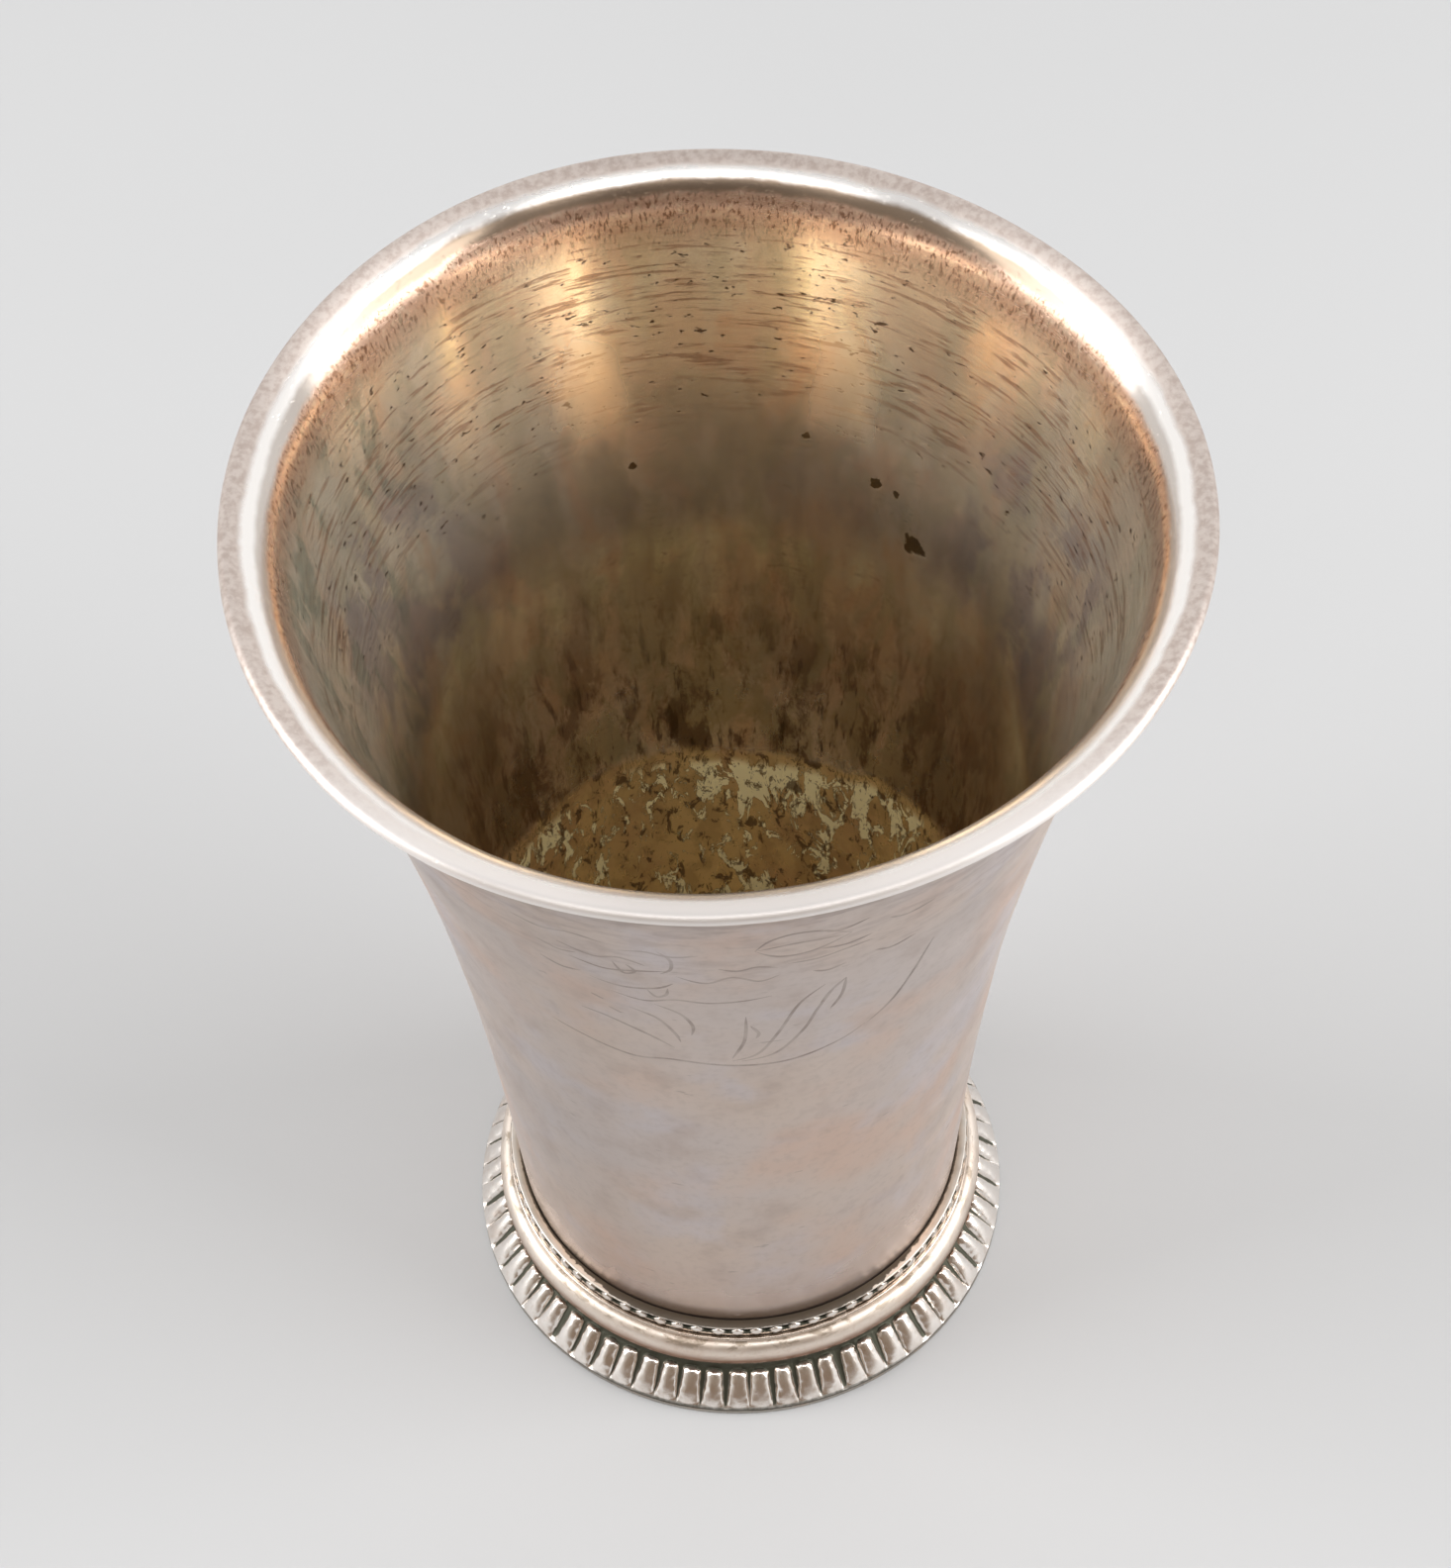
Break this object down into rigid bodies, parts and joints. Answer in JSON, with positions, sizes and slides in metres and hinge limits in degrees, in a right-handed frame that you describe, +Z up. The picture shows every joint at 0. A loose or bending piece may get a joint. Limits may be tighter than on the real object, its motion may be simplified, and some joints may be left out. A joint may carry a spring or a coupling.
{
  "type": "footed beaker",
  "caption": "Flared metal drinking beaker with a turned-out lip on a built-up foot: toothed strip, torus moulding and fluted flange.",
  "frame": {"origin": "centre of the foot, on the surface that the beaker stands on", "axes": "+Z up along the beaker's axis, from the foot to the mouth"},
  "size_m": [0.088, 0.088, 0.12],
  "materials": {
    "cup_silver": "satin",
    "moulding_silver": "satin",
    "bright_silver": "satin",
    "dark_silver": "satin"
  },
  "bodies": {
    "root": {"beaker_body": "cup_silver", "collar_ring": "dark_silver", "toothed_strip": "bright_silver", "bead_wire": "moulding_silver", "torus_moulding": "moulding_silver", "fluted_flange": "bright_silver", "base_wire": "moulding_silver"}
  },
  "joints": []
}
